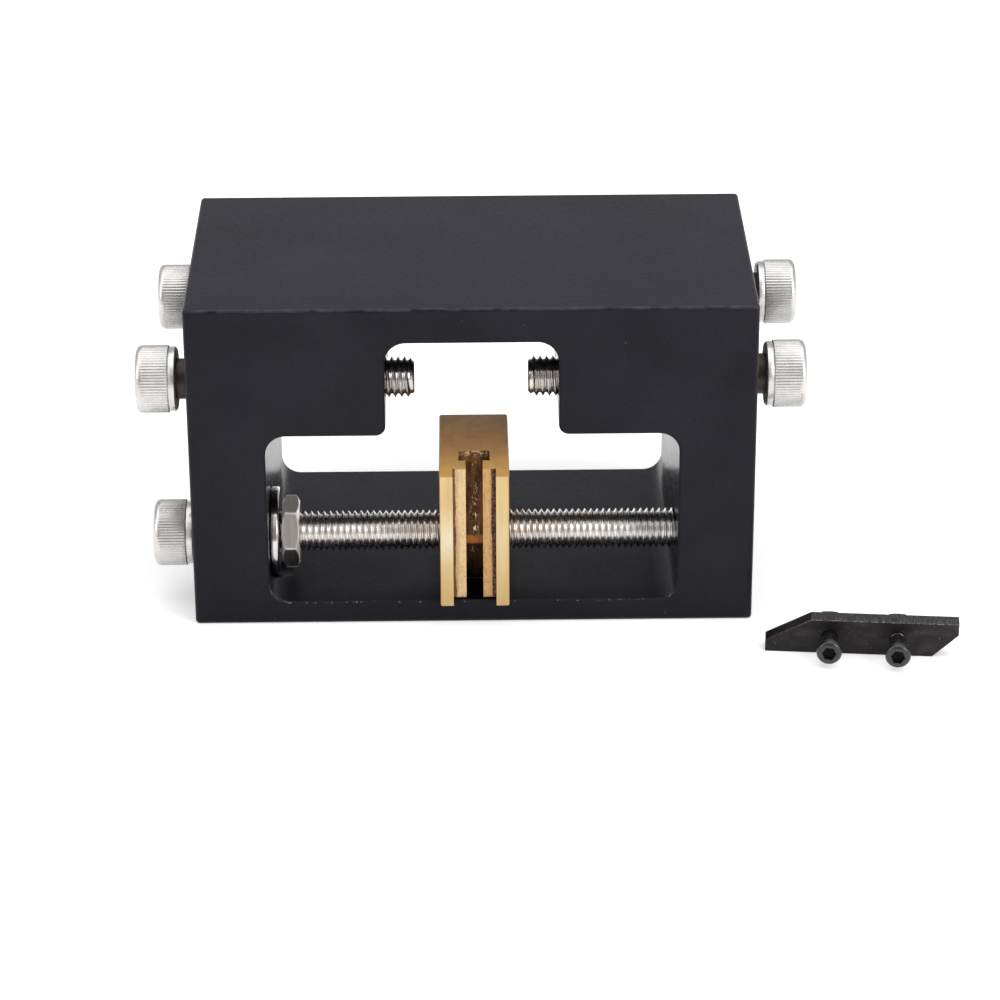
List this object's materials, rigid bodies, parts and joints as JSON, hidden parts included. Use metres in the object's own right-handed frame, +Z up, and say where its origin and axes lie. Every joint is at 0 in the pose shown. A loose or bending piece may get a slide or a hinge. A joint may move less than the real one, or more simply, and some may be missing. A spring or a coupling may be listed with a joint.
{
  "type": "bench pusher press",
  "caption": "Bench press block with a T-shaped through window, side clamp screws and a slotted brass pusher driven by a lead screw, with a loose screw-on blade in front.",
  "frame": {"origin": "middle of the block's base, on the bench", "axes": "+X to the right along the lead screw away from its head, +Y to the back, +Z up"},
  "size_m": [0.1607, 0.0846, 0.0677],
  "materials": {
    "anodised_block": "matt black anodised, fine grain",
    "stainless_screw": "bright stainless steel",
    "steel_washer": "polished steel",
    "brass_pusher": "sawn and milled brass, a little tarnished",
    "black_steel": "black oxide steel with milling marks and worn edges",
    "black_oxide_screw": "satin black oxide"
  },
  "bodies": {
    "frame": {"frame_block": "anodised_block", "lead_washer": "steel_washer"},
    "lead_screw": {"lead_screw": "stainless_screw", "lead_jam_nut": "stainless_screw"},
    "pusher": {"pusher": "brass_pusher"},
    "clamp_front_left": {"clamp_screw_front_left": "stainless_screw"},
    "clamp_rear_left": {"clamp_screw_rear_left": "stainless_screw"},
    "clamp_front_right": {"clamp_screw_front_right": "stainless_screw"},
    "clamp_rear_right": {"clamp_screw_rear_right": "stainless_screw"},
    "blade": {"blade": "black_steel", "blade_nut_left": "black_oxide_screw", "blade_nut_right": "black_oxide_screw"},
    "blade_screw_left": {"blade_screw_left": "black_oxide_screw"},
    "blade_screw_right": {"blade_screw_right": "black_oxide_screw"}
  },
  "joints": [
    {"name": "lead_screw_turn", "type": "hinge", "parent": "frame", "child": "lead_screw", "pos_m": [0, -0.0169, 0.0139], "axis": [1, 0, 0], "range_deg": [-8640, 7920]},
    {"name": "pusher_slide", "type": "slide", "parent": "frame", "child": "pusher", "axis": [1, 0, 0], "range_m": [-0.0275, 0.03]},
    {"name": "clamp_front_left_advance", "type": "slide", "parent": "frame", "child": "clamp_front_left", "axis": [1, 0, 0], "range_m": [-0.03, 0.00205]},
    {"name": "clamp_rear_left_advance", "type": "slide", "parent": "frame", "child": "clamp_rear_left", "axis": [1, 0, 0], "range_m": [-0.03, 0.0005]},
    {"name": "clamp_front_right_advance", "type": "slide", "parent": "frame", "child": "clamp_front_right", "axis": [-1, 0, 0], "range_m": [-0.03, 0.00185]},
    {"name": "clamp_rear_right_advance", "type": "slide", "parent": "frame", "child": "clamp_rear_right", "axis": [-1, 0, 0], "range_m": [-0.03, 0.0033]},
    {"name": "blade_on_bench", "type": "slide", "parent": "frame", "child": "blade", "axis": [0.9954, -0.0958, 0], "range_m": [-0.03, 0.03]},
    {"name": "blade_screw_left_turn", "type": "hinge", "parent": "blade", "child": "blade_screw_left", "pos_m": [0.06954, -0.0453, 0.0035], "axis": [0.0958, 0.9954, 0], "continuous": true},
    {"name": "blade_screw_right_turn", "type": "hinge", "parent": "blade", "child": "blade_screw_right", "pos_m": [0.08278, -0.04657, 0.0035], "axis": [0.0958, 0.9954, 0], "continuous": true}
  ],
  "couplings": [
    {"joint": "pusher_slide", "follows": "lead_screw_turn", "m_per_rad": -0.00019894}
  ]
}
